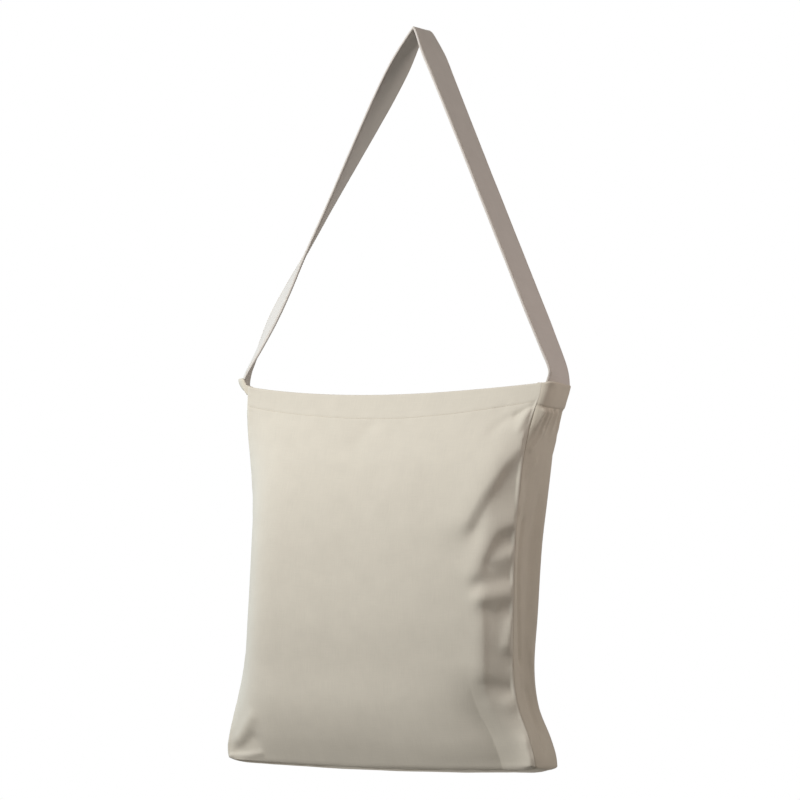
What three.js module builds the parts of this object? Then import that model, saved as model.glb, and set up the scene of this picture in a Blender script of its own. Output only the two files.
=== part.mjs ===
// A cloth tote bag that hangs from one wide shoulder strap.
// Millimetres, +Z up, the front faces -Y and +X is the viewer's right.
// The origin is the underside of the strap's crest, the place that it hangs by.
import * as THREE from "three";

// Cloth
const clothThickness = 1.4;
const hemThickness = 1.2;
const strapThickness = 2;
const pieceGap = 0.3;

// Bag
const clothWidth = 380; // a panel laid flat
const clothHeight = 420;
const rimHeight = -412; // the rim at its corners
const bottomHeight = -833; // the bottom at its corners
const bagShift = -5; // the bag hangs a little to the left of its hang point
const rimSag = 12;
const rimSagSkew = 0.86; // below 1, the lowest place lies left of the middle
const rimSagFullness = 0.9; // below 1, the sag is flat along most of the rim
const backRise = 3; // the back's rim corners stand higher than the front's
const sideRise = 5; // the strap draws up the gusset's rim
const sideRiseEnd = 0.06; // share of the way down where that ends
const bottomSag = 3.5;
const bottomLean = 6.5; // the left corner hangs lower than the right one
const cornerRadius = 4;
const cornerShare = 1 - Math.SQRT1_2; // how far a round corner stays inside a square one
const hemDepth = 24;
const hemInset = 7; // from the side seams in to the hem's short sides
const hemChamfer = 4;

// Strap
const strapWidth = 52;
const strapTuck = 15; // length hidden below the rim
const crestRadius = 2;
const crestSkew = 3.5; // the crest's back edge lies this far left, and its front edge right
const crestLength = 24; // drop over which that ends
const strapGap = 2.3; // to the gusset
const bendHeight = 13; // above the rim, where the strap turns upright
const bendLength = 6;

// The bag's section at a share of the way down from the rim.
// left, right: side seams from the bag's middle. pull: how much further out the strap draws the
// left seam of the back panel. depth: front seam to back seam.
// front, back: how far the panels bulge out of the seams.
// turn: how late and sharply the panels turn in to their seams, from 2, round, to 12, boxy.
const sections = [
  { down: 0.0, left: 187, right: 186, pull: 19, depth: 60, front: 6, back: 5, turn: 3 },
  { down: 0.03, left: 186.5, right: 185, pull: 6, depth: 62, front: 7.5, back: 6, turn: 3 },
  { down: 0.06, left: 185.5, right: 183, pull: 1, depth: 65, front: 9, back: 7, turn: 3 },
  { down: 0.12, left: 181.5, right: 177, pull: 0, depth: 72, front: 16, back: 12, turn: 4 },
  { down: 0.2, left: 175, right: 171, pull: 0, depth: 77, front: 26, back: 19, turn: 5 },
  { down: 0.3, left: 170, right: 166, pull: 0, depth: 75, front: 35, back: 26, turn: 6.5 },
  { down: 0.42, left: 170, right: 162, pull: 0, depth: 70, front: 41, back: 30, turn: 7.5 },
  { down: 0.6, left: 173, right: 161, pull: 0, depth: 63, front: 43, back: 31, turn: 7.5 },
  { down: 0.74, left: 178, right: 161, pull: 0, depth: 55, front: 40, back: 29, turn: 7 },
  { down: 0.84, left: 184, right: 167, pull: 0, depth: 61, front: 32, back: 23, turn: 6 },
  { down: 0.92, left: 190, right: 181, pull: 0, depth: 67, front: 19, back: 14, turn: 5 },
  { down: 1.0, left: 195, right: 194, pull: 0, depth: 67, front: 4, back: 3, turn: 3 },
];

// How far the gusset's left and right sides bulge out of their seams, at a share of the way down.
const sideBulges = [
  { down: 0.0, left: 14, right: 11 },
  { down: 0.03, left: 3, right: 7.5 },
  { down: 0.06, left: -1.5, right: 4 },
  { down: 0.12, left: -3, right: 0 },
  { down: 0.2, left: -4, right: -4 },
  { down: 0.3, left: -6, right: -6 },
  { down: 0.42, left: -6, right: -6 },
  { down: 0.6, left: -5, right: -5 },
  { down: 0.74, left: -4, right: -4 },
  { down: 0.84, left: -2, right: -2 },
  { down: 0.92, left: 0, right: 0 },
  { down: 1.0, left: 2, right: 2 },
];
const lengthSamples = 160; // steps along a panel's section when its length is measured

// Folds of a panel, each along a line on the flat cloth. u runs from the left seam to the right
// one and v from the rim to the bottom, both 0 to 1. height is out of the cloth, negative inwards.
const frontFolds = [
  { name: "corner fold, crest, upper", from: [0.985, 0.155], to: [0.93, 0.215], width: 13, height: 4 },
  { name: "corner fold, crest, lower", from: [0.93, 0.215], to: [0.845, 0.345], width: 15, height: 5 },
  { name: "corner fold, trough", from: [0.95, 0.245], to: [0.875, 0.365], width: 11, height: -4 },
  { name: "second fold, crest", from: [0.985, 0.36], to: [0.875, 0.48], width: 10, height: 4 },
  { name: "second fold, trough", from: [0.985, 0.405], to: [0.915, 0.47], width: 9, height: -4.5 },
  { name: "third fold, trough", from: [0.985, 0.49], to: [0.9, 0.5], width: 9, height: -3 },
  { name: "third fold, crest", from: [0.985, 0.53], to: [0.9, 0.535], width: 9, height: 3.5 },
  { name: "fourth fold, trough", from: [0.985, 0.575], to: [0.92, 0.575], width: 10, height: -4 },
  { name: "side strip, edge", from: [0.893, 0.55], to: [0.9, 0.76], width: 11, height: 3 },
  { name: "side strip, patch", from: [0.98, 0.62], to: [0.98, 0.66], width: 9, height: 2.5 },
  { name: "low side trough", from: [0.985, 0.775], to: [0.905, 0.768], width: 9, height: -4.5 },
  { name: "right corner, trough, upper", from: [0.855, 0.82], to: [0.89, 0.905], width: 15, height: -5 },
  { name: "right corner, trough, lower", from: [0.89, 0.905], to: [0.895, 0.97], width: 15, height: -5 },
  { name: "right corner, point", from: [0.965, 0.93], to: [0.985, 0.985], width: 9, height: 4 },
  { name: "left corner, crest", from: [0.113, 0.881], to: [0.052, 0.943], width: 9, height: 3 },
  { name: "left corner, trough", from: [0.103, 0.938], to: [0.043, 0.971], width: 9, height: -3.5 },
  { name: "dimple under the hem", from: [0.4, 0.1], to: [0.44, 0.12], width: 14, height: -1.5 },
];
const backFolds = [
  { name: "left corner fold", from: [0.03, 0.15], to: [0.2, 0.34], width: 16, height: -5 },
  { name: "right corner fold", from: [0.97, 0.18], to: [0.84, 0.36], width: 16, height: -5 },
  { name: "low left fold", from: [0.04, 0.9], to: [0.18, 0.8], width: 14, height: 4 },
  { name: "low right fold", from: [0.96, 0.92], to: [0.82, 0.78], width: 14, height: 4 },
];

// Turn of the strap about its own length, back edge outwards, on its left and right runs, at a
// share of the way from crest to rim.
const strapTwist = [
  { along: 0.0, left: 7, right: 7 },
  { along: 0.06, left: 5, right: 8 },
  { along: 0.12, left: 3, right: 6 },
  { along: 0.2, left: 5, right: 5 },
  { along: 0.36, left: 15, right: 4 },
  { along: 0.5, left: 24, right: 4 },
  { along: 0.62, left: 31, right: 4 },
  { along: 0.72, left: 37, right: 4 },
  { along: 0.8, left: 39, right: 4 },
  { along: 0.87, left: 34, right: 3 },
  { along: 0.92, left: 27, right: 2 },
  { along: 0.96, left: 22, right: 0 },
  { along: 1.0, left: 17, right: 0 },
  { along: 1.03, left: 3, right: -1 },
];

// Lengths over which a panel's folds die out at its edges
const seamFade = 12;
const bottomFade = 8;
const hemFade = 15;

// Width over which the gusset turns out of its seams, at the rim and below the hem
const turnAtRim = 4;
const turnBelow = 24;

// Gusset pleats, gathered under the hem
const pleatCount = 3;
const pleatHeight = 2.2;
const pleatTop = 0.065;
const pleatPeak = 0.09;
const pleatEnd = 0.18;

// Grid steps
const frontSpans = [
  { to: 0.16, steps: 5 },
  { to: 0.8, steps: 7 },
  { to: 1.0, steps: 16 },
];
const backSpans = [
  { to: 0.2, steps: 5 },
  { to: 0.8, steps: 6 },
  { to: 1.0, steps: 5 },
];
const frontRows = 60;
const backRows = 18;
const gussetSteps = { across: 10, side: 19, bottom: 12 };
const hemSteps = { long: 13, short: 2, down: 2 };
const strapSteps = { across: 3, run: 28 };

const { lerp, clamp, degToRad } = THREE.MathUtils;
const upAxis = new THREE.Vector3(0, 0, 1);
const depthAxis = new THREE.Vector3(0, 1, 0);

function smooth(low, high, value) {
  return THREE.MathUtils.smoothstep(value, low, high);
}

function smoothMinimum(a, b, blend) {
  const share = clamp(0.5 + (0.5 * (b - a)) / blend, 0, 1);
  return lerp(b, a, share) - blend * share * (1 - share);
}

// A column of a table at a place between its rows, as a smooth curve through them.
function tableValue(rows, key, column, place) {
  let next = rows.findIndex((row) => row[key] >= place);
  next = next === -1 ? rows.length - 1 : Math.max(next, 1);
  const slopeAt = (index) => {
    const before = rows[Math.max(index - 1, 0)];
    const after = rows[Math.min(index + 1, rows.length - 1)];
    return (after[column] - before[column]) / (after[key] - before[key]);
  };
  const start = rows[next - 1];
  const end = rows[next];
  const span = end[key] - start[key];
  const t = clamp((place - start[key]) / span, 0, 1);
  const rise = t * t * (3 - 2 * t);
  const fromStart = t * (1 - t) * (1 - t) * span * slopeAt(next - 1);
  const fromEnd = t * t * (1 - t) * span * slopeAt(next);
  return lerp(start[column], end[column], rise) + fromStart - fromEnd;
}

function sectionValue(column, down) {
  return tableValue(sections, "down", column, down);
}

// How far the strap draws up the middle of the gusset's rim, and the cloth just under it.
function riseAt(down) {
  return sideRise * clamp(1 - down / sideRiseEnd, 0, 1) ** 2;
}

// Height of all the folds at a place on the flat cloth, fading out at the seams and the rim.
function foldHeight(folds, u, v) {
  const place = new THREE.Vector2(u * clothWidth, v * clothHeight);
  let height = 0;
  for (const fold of folds) {
    const start = new THREE.Vector2(fold.from[0] * clothWidth, fold.from[1] * clothHeight);
    const run = new THREE.Vector2(fold.to[0] * clothWidth, fold.to[1] * clothHeight).sub(start);
    const share = clamp(place.clone().sub(start).dot(run) / run.lengthSq(), 0, 1);
    const distance = start.addScaledVector(run, share).distanceTo(place);
    height += fold.height * Math.exp(-((distance / fold.width) ** 2));
  }
  const seamDistance = Math.min(u, 1 - u) * clothWidth;
  const bottomDistance = (1 - v) * clothHeight;
  const hemDistance = v * clothHeight - hemDepth;
  const sideHold = smooth(0, seamFade, seamDistance);
  return height * sideHold * smooth(0, bottomFade, bottomDistance) * smooth(0, hemFade, hemDistance);
}

// The shape of a panel's section: middle runs from -1 at the left seam to 1 at the right one.
function panelSection(facing, v) {
  const backPull = facing < 0 ? 0 : sectionValue("pull", v);
  return {
    left: sectionValue("left", v) + backPull,
    right: sectionValue("right", v),
    bulge: sectionValue(facing < 0 ? "front" : "back", v),
    turn: sectionValue("turn", v),
  };
}

// The place on a panel's section that lies at a share of the cloth's own length across it.
function placeByLength(section, u) {
  const halfWidth = (section.left + section.right) / 2;
  const bulgeAt = (middle) => section.bulge * (1 - Math.abs(middle) ** section.turn);
  const lengths = [0];
  for (let step = 1; step <= lengthSamples; step++) {
    const before = (2 * (step - 1)) / lengthSamples - 1;
    const here = (2 * step) / lengthSamples - 1;
    const stepLength = Math.hypot((here - before) * halfWidth, bulgeAt(here) - bulgeAt(before));
    lengths.push(lengths[step - 1] + stepLength);
  }
  const wanted = u * lengths[lengthSamples];
  const next = clamp(lengths.findIndex((length) => length >= wanted), 1, lengthSamples);
  const share = (wanted - lengths[next - 1]) / (lengths[next] - lengths[next - 1]);
  return (2 * (next - 1 + share)) / lengthSamples - 1;
}

// A point of a panel's middle surface. facing is -1 for the front and 1 for the back.
function panelPoint(facing, u, v) {
  const section = panelSection(facing, v);
  const middle = placeByLength(section, u);
  const rimDrop = rimSag * Math.max(Math.sin(Math.PI * u ** rimSagSkew), 0) ** rimSagFullness;
  const bottomDrop = bottomSag * Math.sin(Math.PI * u) + bottomLean * (1 - u);
  let x = lerp(-section.left, section.right, (middle + 1) / 2);
  const cornerRise = facing < 0 ? 0 : backRise * (2 * u - 1) ** 12;
  let z = lerp(rimHeight - rimDrop + cornerRise, bottomHeight - bottomDrop, v);

  // The bottom corners are rounded: cloth near them is drawn in and up.
  const cornerDistance = Math.min(u, 1 - u) * clothWidth + (1 - v) * clothHeight;
  const cornerPull = cornerShare * cornerRadius * clamp(1 - cornerDistance / (2 * cornerRadius), 0, 1) ** 2;
  x -= Math.sign(u - 0.5) * cornerPull;
  z += cornerPull;

  // Folds stand square to the section, so on the turned sides they point sideways.
  const slope = (section.bulge * section.turn * Math.abs(middle) ** (section.turn - 1) * 2)
    / (section.left + section.right);
  const fold = foldHeight(facing < 0 ? frontFolds : backFolds, u, v) / Math.hypot(1, slope);
  const bulge = section.bulge * (1 - Math.abs(middle) ** section.turn);
  x += Math.sign(middle) * slope * fold;
  const y = facing * (sectionValue("depth", v) / 2 + bulge + fold);
  return new THREE.Vector3(bagShift + x, y, z);
}

// A closed wall of one thickness about a middle surface given as a grid of points. With wrap,
// the grid's last row joins its first.
function wallGeometry(grid, thickness, wrap = false) {
  const rows = grid.length;
  const columns = grid[0].length;
  const rowAt = (i) => grid[wrap ? (i + rows) % rows : clamp(i, 0, rows - 1)];
  const outer = [];
  const inner = [];
  for (let i = 0; i < rows; i++) {
    for (let j = 0; j < columns; j++) {
      const alongRows = rowAt(i + 1)[j].clone().sub(rowAt(i - 1)[j]);
      const alongColumns = grid[i][Math.min(j + 1, columns - 1)].clone().sub(grid[i][Math.max(j - 1, 0)]);
      const half = alongRows.cross(alongColumns).setLength(thickness / 2);
      outer.push(grid[i][j].clone().add(half));
      inner.push(grid[i][j].clone().sub(half));
    }
  }

  const points = [...outer, ...inner];
  const outerAt = (i, j) => (i % rows) * columns + j;
  const innerAt = (i, j) => outer.length + outerAt(i, j);
  const triangles = [];
  const addQuad = (a, b, c, d) => triangles.push(a, b, c, a, c, d);
  const last = columns - 1;
  const rowQuads = wrap ? rows : rows - 1;
  for (let i = 0; i < rowQuads; i++) {
    for (let j = 0; j < last; j++) {
      addQuad(outerAt(i, j), outerAt(i + 1, j), outerAt(i + 1, j + 1), outerAt(i, j + 1));
      addQuad(innerAt(i, j), innerAt(i, j + 1), innerAt(i + 1, j + 1), innerAt(i + 1, j));
    }
    addQuad(outerAt(i, 0), innerAt(i, 0), innerAt(i + 1, 0), outerAt(i + 1, 0));
    addQuad(outerAt(i, last), outerAt(i + 1, last), innerAt(i + 1, last), innerAt(i, last));
  }
  if (!wrap) {
    const end = rows - 1;
    for (let j = 0; j < last; j++) {
      addQuad(outerAt(0, j), outerAt(0, j + 1), innerAt(0, j + 1), innerAt(0, j));
      addQuad(outerAt(end, j), innerAt(end, j), innerAt(end, j + 1), outerAt(end, j + 1));
    }
  }

  const geometry = new THREE.BufferGeometry().setFromPoints(points);
  geometry.setIndex(triangles);
  geometry.computeVertexNormals();
  return geometry;
}

function gridOf(rowPlaces, columnPlaces, pointAt) {
  return rowPlaces.map((row) => columnPlaces.map((column) => pointAt(row, column)));
}

function evenPlaces(steps) {
  return Array.from({ length: steps + 1 }, (_, index) => index / steps);
}

// Places from 0 to 1 that crowd towards both ends.
function endPlaces(steps) {
  return evenPlaces(steps).map((place) => 0.5 - 0.5 * Math.cos(Math.PI * place));
}

// Places from 0 to 1 in spans that each have even steps of their own.
function spanPlaces(spans) {
  const places = [0];
  let start = 0;
  for (const { to, steps } of spans) {
    const from = start;
    for (let step = 1; step <= steps; step++) places.push(lerp(from, to, step / steps));
    start = to;
  }
  return places;
}

function panelGeometry(facing, spans, rows) {
  const grid = gridOf(spanPlaces(spans), evenPlaces(rows), (u, v) => panelPoint(facing, u, v));
  return wallGeometry(grid, clothThickness);
}

// Places along the gusset's path on a panel's edge: down the left, along the bottom, up the right.
function gussetPath() {
  const downward = evenPlaces(gussetSteps.side).map((place) => lerp(place, place ** 2, 0.6));
  const sideways = endPlaces(gussetSteps.bottom).slice(1, -1);
  const left = downward.map((v) => ({ u: 0, v }));
  const bottom = sideways.map((u) => ({ u, v: 1 }));
  const right = downward.map((v) => ({ u: 1, v })).reverse();
  return [...left, ...bottom, ...right];
}

// Height of the pleats gathered under the hem, across the gusset's width.
function pleatAt(across, down) {
  const strength = smooth(pleatTop, pleatPeak, down) * (1 - smooth(pleatPeak, pleatEnd, down));
  const edge = smooth(0, 0.08, Math.min(across, 1 - across));
  return pleatHeight * strength * edge * Math.cos(2 * Math.PI * pleatCount * (across - 0.5));
}

function gussetGrid() {
  const path = gussetPath();
  const edgePoints = (facing) => path.map(({ u, v }) => panelPoint(facing, u, v));
  const front = edgePoints(-1);
  const back = edgePoints(1);
  const edgeGap = clothThickness + pieceGap;
  return path.map(({ u, v }, index) => {
    const before = front[Math.max(index - 1, 0)];
    const after = front[Math.min(index + 1, path.length - 1)];
    const along = after.clone().sub(before).normalize();
    const outward = new THREE.Vector3(along.z, 0, -along.x);
    const across = back[index].clone().sub(front[index]);
    const depth = across.length();
    across.normalize();
    const turnBand = lerp(turnAtRim, turnBelow, smooth(pleatTop, pleatEnd, v));
    const onSide = u === 0 || u === 1;
    const out = tableValue(sideBulges, "down", u < 0.5 ? "left" : "right", v);
    const rise = onSide ? riseAt(v) : 0;
    return endPlaces(gussetSteps.across).map((place) => {
      const distance = lerp(edgeGap, depth - edgeGap, place);
      const edgeDistance = Math.min(distance, depth - distance);
      const bulge = out * smooth(0, turnBand, edgeDistance);
      const pleat = onSide ? pleatAt(place, v) : 0;
      const point = front[index].clone().addScaledVector(across, distance);
      point.z += rise * Math.sin(Math.PI * place);
      return point.addScaledVector(outward, bulge + pleat);
    });
  });
}

// The hem's middle surface, once round: front, right, back and left, with chamfered corners.
function hemGrid() {
  const left = sectionValue("left", 0);
  const right = sectionValue("right", 0);
  const wallStep = clothThickness / 2 + pieceGap + hemThickness;
  const longStart = (hemInset + hemChamfer) / (left + right);
  const longPlaces = evenPlaces(hemSteps.long).map((place) => lerp(longStart, 1 - longStart, place));
  const shortPlaces = evenPlaces(hemSteps.short);
  const levels = evenPlaces(hemSteps.down).map((place) => lerp(0.6, hemDepth, place) / clothHeight);
  const longPoint = (facing, u, v) => {
    const point = panelPoint(facing, u, v);
    point.y -= facing * wallStep;
    return point;
  };
  const longColumn = (facing, u) => levels.map((v) => longPoint(facing, u, v));
  const shortColumn = (u, place) =>
    levels.map((v) => {
      const corner = longPoint(-1, u, v);
      const reach = Math.abs(corner.y) - hemChamfer;
      corner.x += Math.sign(u - 0.5) * hemChamfer;
      corner.y = lerp(-reach, reach, place);
      return corner;
    });
  const backward = [...longPlaces].reverse();
  return [
    ...longPlaces.map((u) => longColumn(-1, u)),
    ...shortPlaces.map((place) => shortColumn(1 - longStart, place)),
    ...backward.map((u) => longColumn(1, u)),
    ...shortPlaces.map((place) => shortColumn(longStart, 1 - place)),
  ];
}

// A point of the strap's middle surface. run goes from -1 at the left end, over the crest at 0, to
// 1 at the right end, and across from -1 at the front edge to 1 at the back edge.
function strapPoint(run, across) {
  const side = run < 0 ? -1 : 1;
  // The gusset's place at a height, and the strap's just inside it, square to the wall's lean.
  const wallAt = (height) => {
    let down = 0;
    for (let pass = 0; pass < 4; pass++) {
      down = clamp((height - riseAt(down) - rimHeight) / (bottomHeight - rimHeight), 0, 1);
    }
    const leftSeam = sectionValue("left", down) + sectionValue("pull", down) / 2;
    const seam = side < 0 ? leftSeam : sectionValue("right", down);
    return seam + tableValue(sideBulges, "down", side < 0 ? "left" : "right", down) + side * bagShift;
  };
  const wallStep = clothThickness / 2 + strapGap + strapThickness / 2;
  const strapAt = (height) => {
    const lean = (wallAt(height + 1) - wallAt(height - 1)) / 2;
    return wallAt(height) - wallStep * Math.hypot(1, lean);
  };

  // Each run is a hyperbola, round at the crest and then straight, that turns upright above the rim.
  const crestHeight = strapThickness / 2;
  const rimDrop = crestHeight - rimHeight;
  const fullDrop = rimDrop + strapTuck;
  const runDrop = rimDrop - sideRise - bendHeight;
  const reach = strapAt(rimHeight + sideRise);
  const slope = Math.sqrt(reach ** 2 - 2 * runDrop * crestRadius) / runDrop;
  const focus = crestRadius / slope ** 2;
  const centreAt = (drop) => {
    const height = crestHeight - drop;
    const straight = slope * Math.sqrt(Math.max((drop + focus) ** 2 - focus ** 2, 0));
    return new THREE.Vector3(side * smoothMinimum(straight, strapAt(height), bendLength), 0, height);
  };
  const drop = fullDrop * smooth(0, 1, Math.abs(run));
  const centre = centreAt(drop);
  const along = centreAt(drop + 0.5).sub(centreAt(Math.max(drop - 0.5, 0))).normalize();
  const outward = new THREE.Vector3().crossVectors(depthAxis, along).multiplyScalar(-side).normalize();
  if (Math.abs(run) < 1e-6) outward.copy(upAxis);
  // At the rim the strap's edges stay level, as the gusset's do.
  const level = new THREE.Vector3(side, 0, 0);
  outward.lerp(level, smooth(0.93, 1, drop / rimDrop)).normalize();
  const twist = degToRad(tableValue(strapTwist, "along", side < 0 ? "left" : "right", drop / rimDrop));
  const half = (across * strapWidth) / 2;
  centre.x -= crestSkew * across * Math.exp(-((drop / crestLength) ** 2));
  return centre
    .addScaledVector(depthAxis, half * Math.cos(twist))
    .addScaledVector(outward, half * Math.sin(twist));
}

function strapGrid() {
  const runs = evenPlaces(2 * strapSteps.run).map((place) => 2 * place - 1);
  const widths = evenPlaces(strapSteps.across).map((place) => 2 * place - 1);
  return gridOf(runs, widths, strapPoint);
}

function clothPiece(name, geometry, color) {
  const material = new THREE.MeshStandardMaterial({ color, roughness: 0.95, metalness: 0 });
  const mesh = new THREE.Mesh(geometry, material);
  mesh.name = name;
  return mesh;
}

const bag = new THREE.Group();
bag.name = "tote_bag";
bag.add(clothPiece("front_panel", panelGeometry(-1, frontSpans, frontRows), 0xd6cebf));
bag.add(clothPiece("back_panel", panelGeometry(1, backSpans, backRows), 0xd6cebf));
bag.add(clothPiece("gusset", wallGeometry(gussetGrid(), clothThickness), 0xcfc6b6));
bag.add(clothPiece("top_hem", wallGeometry(hemGrid(), hemThickness, true), 0xd6cebf));
bag.add(clothPiece("shoulder_strap", wallGeometry(strapGrid(), strapThickness), 0xd0c8ba));

export default bag;
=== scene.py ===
import math

import bpy
import numpy as np
from mathutils import Matrix, Vector


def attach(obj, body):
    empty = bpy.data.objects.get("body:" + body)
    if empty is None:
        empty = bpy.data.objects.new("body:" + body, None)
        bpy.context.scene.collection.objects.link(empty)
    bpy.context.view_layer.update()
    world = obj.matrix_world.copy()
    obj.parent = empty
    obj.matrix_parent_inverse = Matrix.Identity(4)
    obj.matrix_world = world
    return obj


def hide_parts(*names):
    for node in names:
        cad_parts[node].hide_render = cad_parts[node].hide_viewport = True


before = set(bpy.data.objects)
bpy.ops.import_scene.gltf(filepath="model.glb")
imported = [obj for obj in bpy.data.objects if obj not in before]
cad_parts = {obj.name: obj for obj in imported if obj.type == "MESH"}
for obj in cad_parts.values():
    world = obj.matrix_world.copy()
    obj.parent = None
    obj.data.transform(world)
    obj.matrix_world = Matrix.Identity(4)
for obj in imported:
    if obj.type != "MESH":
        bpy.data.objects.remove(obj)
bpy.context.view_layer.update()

# A cloth tote bag hanging from one wide shoulder strap.
# Sizes and tables are in millimetres, and meshes are made in metres.
mm = 0.001

# The bag's form, close to the solids'
bag = {
    "width": 380,
    "height": 420,
    "rim": -412,
    "bottom": -833,
    "shift": -5,  # of the bag's middle to the side
    "rimSag": 12,
    "rimSagSkew": 0.86,
    "rimSagFullness": 0.9,
    "backRise": 3,  # the back's rim corners stand higher than the front's
    "backRisePower": 12,
    "leftRise": 10,  # the strap draws up the gusset's rim
    "rightRise": 2,
    "sideRiseEnd": 0.06,
    "bottomSag": 3.5,
    "bottomLean": 6.5,
    "cornerRadius": 10,
    "cloth": 1.0,  # thickness
    "rimRoll": 1.1,  # radius of the turned rim
    "rollAngles": [180, 145, 110, 75, 40],
    "rollStep": 0.6,  # flat cloth from one angle to the next, as a share of the radius
    "seamGap": 1.15,  # from the panel's seam edge to the gusset's, and beside the hem
    "hemSeamGap": 0.15,
    "hemSeamRange": (14, 42),  # below the rim, from the seams beside the hem to those under it
    "seamTurns": [0.35, 0.9, 1.8, 3.0],  # cloth turned in along the seams
    "edgeRound": 6,  # width and drop of the rounded edges at the bottom
    "edgeDrop": 0.8,
    "edgeHeight": 20,  # how far up the side seams they reach
    "leftTurn": 1.2,  # share of the sections' turn on the left half of a panel
    "stripStart": 0.87,  # the right half ends in a strip that faces the side
    "stripRound": 0.04,
    "stripTurns": (3.6, 6),  # turns of the sections over which the strip comes in
    "frontRound": 0.33,  # share of the bulge lost before it
    "leftFlare": 17,  # the strap draws out the gusset's left rim
    "flareHeight": 9.5,
}
# Sections go down from the rim: the side seams left and right of the middle, how far the strap
# draws the back's left seam out and its right seam in, the depth between the seams, how far front
# and back bulge, how sharply they turn in to their seams, and how far the sides bulge.
sections = {
    "down": [0, 0.03, 0.06, 0.12, 0.2, 0.3, 0.42, 0.6, 0.74, 0.84, 0.92, 1],
    "left": [187, 186.5, 185.5, 181.5, 175, 170, 170, 173, 178, 184, 190, 195],
    "right": [186, 184.5, 180.5, 174.5, 170, 166, 162, 161, 161, 166, 179, 190.5],
    "pull": [23, 6, 1, 0, 0, 0, 0, 0, 0, 0, 0, 0],
    "draw": [1.5, 3, 2.5, 1.5, 1, 0.5, 0, 0, 0, -0.5, -2, -3.5],
    "depth": [60, 62, 65, 72, 77, 75, 70, 63, 55, 61, 67, 67],
    "front": [6, 8.7, 11.3, 17, 26, 35, 41, 43, 40, 32, 19, 4],
    "back": [5, 6, 7, 12, 19, 26, 30, 31, 29, 23, 14, 3],
    "turn": [3, 3, 3, 4, 5, 6.5, 7.5, 7.5, 7, 6, 5, 3],
    "leftBulge": [-1, -1, -2, -3, -4, -6, -6, -5, -4, -2, 0, 2],
    "rightBulge": [10, 9, 8, 6, 2.5, -3, -6, -5, -4, -2, 0, 2],
}
# The front's lower right corner is pushed in along a fold, as foldField takes them. A power of 1
# makes it a sharp crease, and grow is the height over which it starts.
cornerDent = {
    "fold": (-20, 33, 160, [(0.848, 0.72), (0.872, 0.85), (0.887, 0.91), (0.892, 0.955), (0.89, 1.0)]),
    "edge": {"power": 1, "grow": 85},
}
# How far below the rim the hem is sewn, across the front or back
hemLine = {"across": [0, 0.2, 0.55, 0.8, 1], "below": [21, 24, 27, 24, 19]}


def smooth(low, high, value):
    t = np.clip((value - low) / (high - low), 0, 1)
    return t * t * (3 - 2 * t)


def bell(distance, width):
    return np.exp(-((distance / width) ** 2))


def unit(vectors):
    return vectors / np.maximum(np.linalg.norm(vectors, axis=-1, keepdims=True), 1e-9)


def stepLengths(points):
    return np.linalg.norm(np.diff(points, axis=0), axis=1)


def lengthAlong(points):
    return np.concatenate([[0], np.cumsum(stepLengths(points))])


def curveThrough(places, values, at):
    places = np.asarray(places, float)
    values = np.asarray(values, float)
    slopes = np.empty_like(values)
    slopes[1:-1] = (values[2:] - values[:-2]) / (places[2:] - places[:-2])
    slopes[0] = (values[1] - values[0]) / (places[1] - places[0])
    slopes[-1] = (values[-1] - values[-2]) / (places[-1] - places[-2])
    k = np.clip(np.searchsorted(places, at), 1, len(places) - 1)
    span = places[k] - places[k - 1]
    t = np.clip((at - places[k - 1]) / span, 0, 1)
    bend = span * (t * (1 - t) ** 2 * slopes[k - 1] - t * t * (1 - t) * slopes[k])
    return values[k - 1] + (values[k] - values[k - 1]) * smooth(0, 1, t) + bend


def sectionAt(column, v):
    return curveThrough(sections["down"], sections[column], v)


def hemLineAt(u):
    return curveThrough(hemLine["across"], hemLine["below"], u)


# How far the strap draws up the middle of the gusset's rim, and the cloth just under it
def riseAt(v, side):
    rise = np.where(np.asarray(side) < 0, bag["leftRise"], bag["rightRise"])
    return rise * np.clip(1 - v / bag["sideRiseEnd"], 0, 1) ** 2


# How far the gusset stands out of its seams
def bulgeAt(v, side):
    flare = np.sqrt(np.clip(1 - (v * bag["height"] / bag["flareHeight"]) ** 2, 0, 1))
    left = sectionAt("leftBulge", v) + bag["leftFlare"] * flare
    return np.where(np.asarray(side) < 0, left, sectionAt("rightBulge", v))


# Smooth noise from -1 to 1 on a lattice of seeded values
def softNoise(x, y, cellX, cellY, seed):
    size = 64
    lattice = np.random.default_rng(seed).uniform(-1, 1, (size, size))
    x = np.asarray(x, float) / cellX
    y = np.asarray(y, float) / cellY
    i = np.floor(x).astype(int)
    j = np.floor(y).astype(int)
    fx = smooth(0, 1, x - i)
    fy = smooth(0, 1, y - j)
    at = lambda a, b: lattice[(i + a) % size, (j + b) % size]
    low = at(0, 0) * (1 - fx) + at(1, 0) * fx
    high = at(0, 1) * (1 - fx) + at(1, 1) * fx
    return low * (1 - fy) + high * fy


# Layers of such noise, each a share and the two sides of a cell, with seeds that count up
def layeredNoise(x, y, layers, seed):
    return sum(share * softNoise(x, y, *cell, seed + k) for k, (share, *cell) in enumerate(layers))


# Share of a panel's bulge that is lost at a place across it, from -1 to 1
def lostAt(turn, middle):
    m = np.abs(middle)
    hinge = lambda at: at - bag["stripStart"] + np.hypot(at - bag["stripStart"], bag["stripRound"])
    strip = (hinge(m) - hinge(0)) / (hinge(1) - hinge(0))
    strip = bag["frontRound"] * m**2 + (1 - bag["frontRound"]) * strip
    low, high = bag["stripTurns"]
    share = np.clip((turn - low) / (high - low), 0, 1)
    return np.where(middle < 0, m ** (turn * bag["leftTurn"]), m**turn * (1 - share) + strip * share)


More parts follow.
